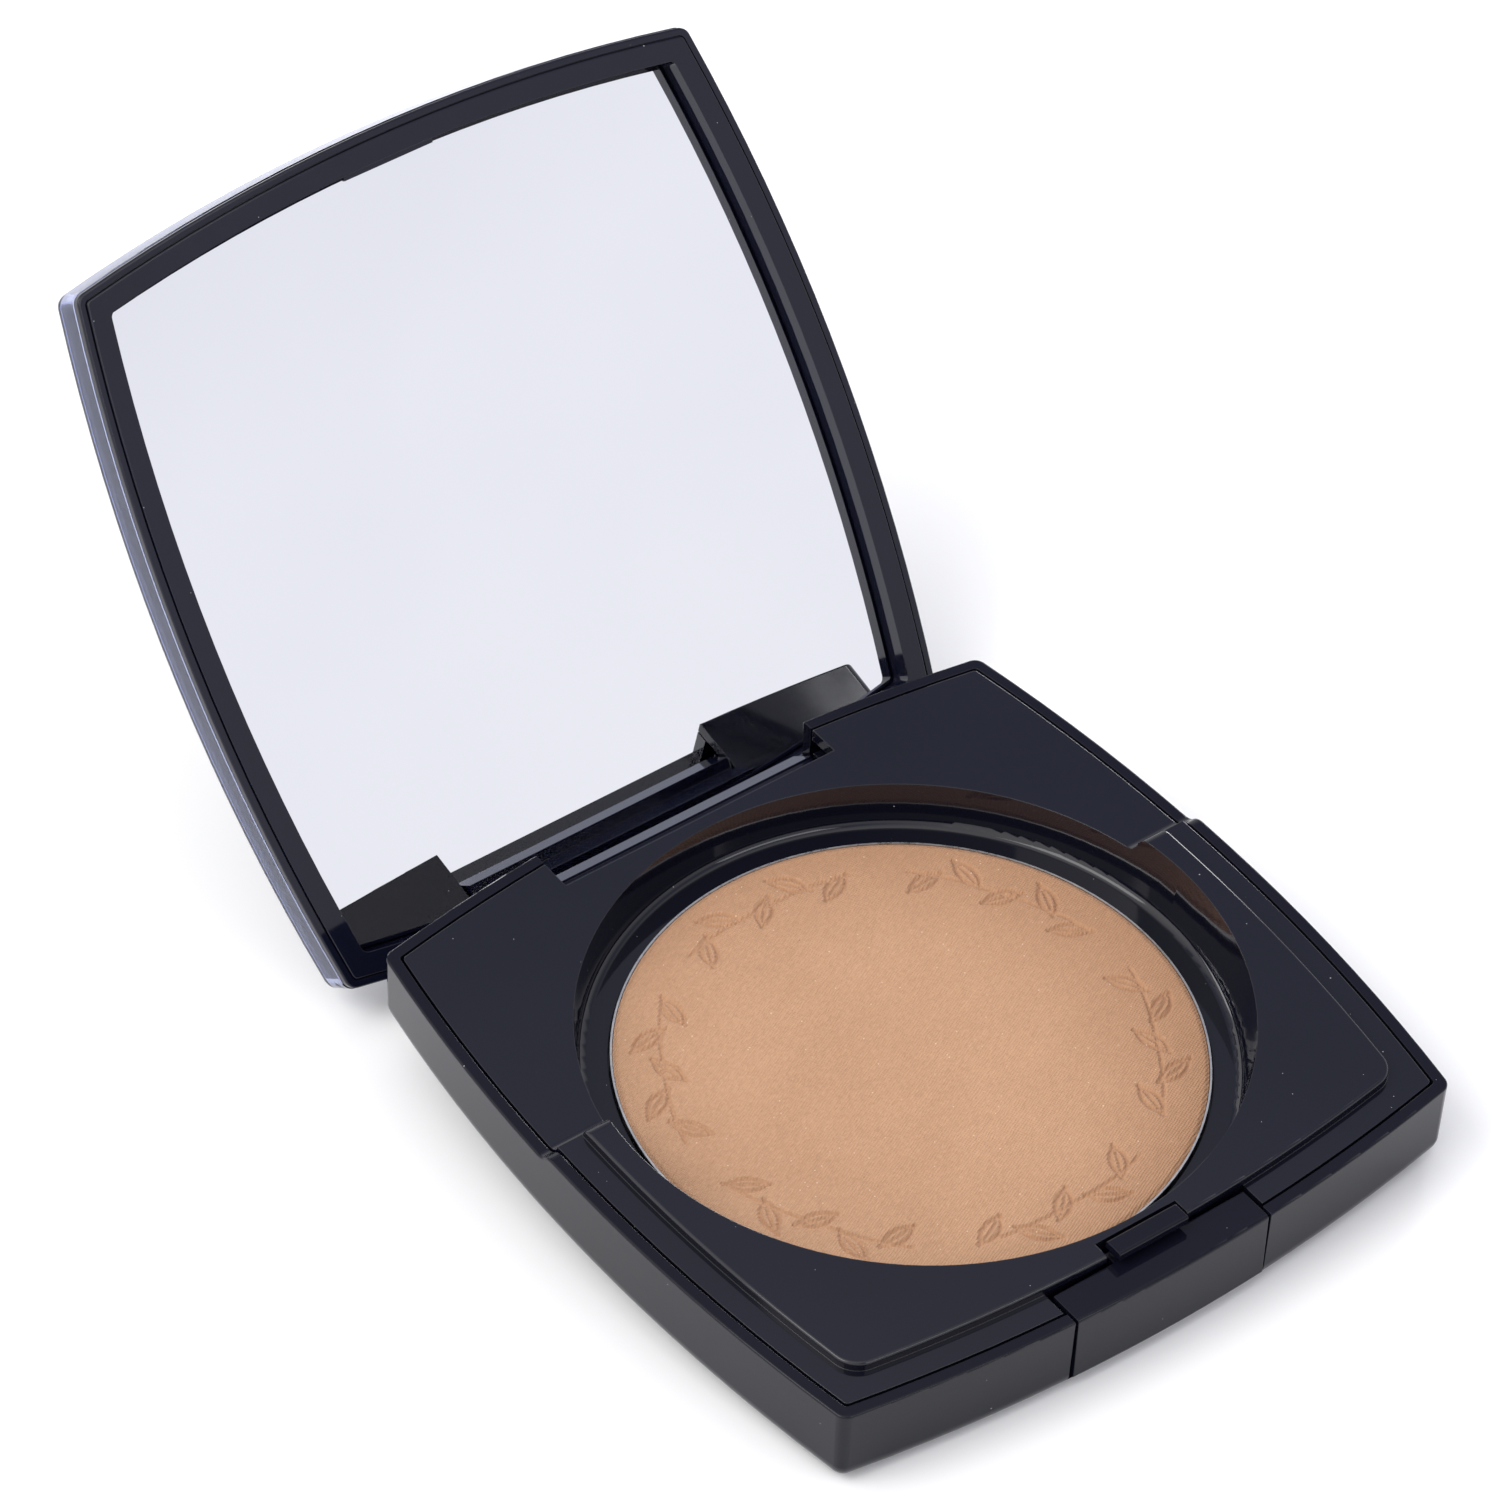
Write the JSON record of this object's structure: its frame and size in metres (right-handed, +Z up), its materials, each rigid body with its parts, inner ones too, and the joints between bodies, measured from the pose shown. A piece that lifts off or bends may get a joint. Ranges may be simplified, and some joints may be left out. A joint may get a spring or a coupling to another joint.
{
  "type": "powder compact",
  "caption": "Square pressed-powder compact with bowed sides, a round pan in a raised panel, a hinged mirror lid standing open and a sprung push-button latch.",
  "frame": {"origin": "centre of the open compact's footprint box, on the table it stands on", "axes": "+X along the hinge, +Y from the button towards the lid, +Z up; the base is tilted up at the rear by 4.7 degrees, as the open compact stands on a table"},
  "size_m": [0.08, 0.1308, 0.0687],
  "materials": {
    "base_plastic": "glossy, polished moulding",
    "deck_plastic": "glossy, polished moulding",
    "pan_metal": "bright rolled sheet",
    "powder": "matte pressed powder with a soft pressed relief",
    "glue": "dull adhesive",
    "label_paper": "matte blank paper",
    "button_plastic": "glossy, polished moulding",
    "spring_steel": "rolled strip",
    "pin_steel": "ground rod",
    "lid_plastic": "satin gloss moulding",
    "mirror_glass": "silvered float glass",
    "tape": "double-sided foam tape",
    "inlay_lacquer": "lacquered plate",
    "clear_acrylic": "clear polished acrylic"
  },
  "bodies": {
    "base": {"base_shell": "base_plastic", "deck_insert": "deck_plastic", "powder_pan": "pan_metal", "pressed_powder": "powder", "pan_glue": "glue", "bottom_label": "label_paper", "button_spring": "spring_steel", "hinge_pin_left": "pin_steel", "hinge_pin_right": "pin_steel"},
    "button": {"push_button": "button_plastic"},
    "lid": {"lid_frame": "lid_plastic", "mirror": "mirror_glass", "mirror_tape": "tape", "lid_inlay": "inlay_lacquer", "lid_shell": "clear_acrylic"}
  },
  "joints": [
    {"name": "lid_hinge", "type": "hinge", "parent": "base", "child": "lid", "pos_m": [0, 0.01195, 0.00925], "axis": [-1, 0, 0], "range_deg": [-129.3, 0]},
    {"name": "button_push", "type": "slide", "parent": "base", "child": "button", "axis": [0, 0.9966, 0.0827], "range_m": [0, 0.0005], "stiffness_N_per_m": 1500, "springref_m": -0.0005, "deforming": ["button_spring"]}
  ]
}
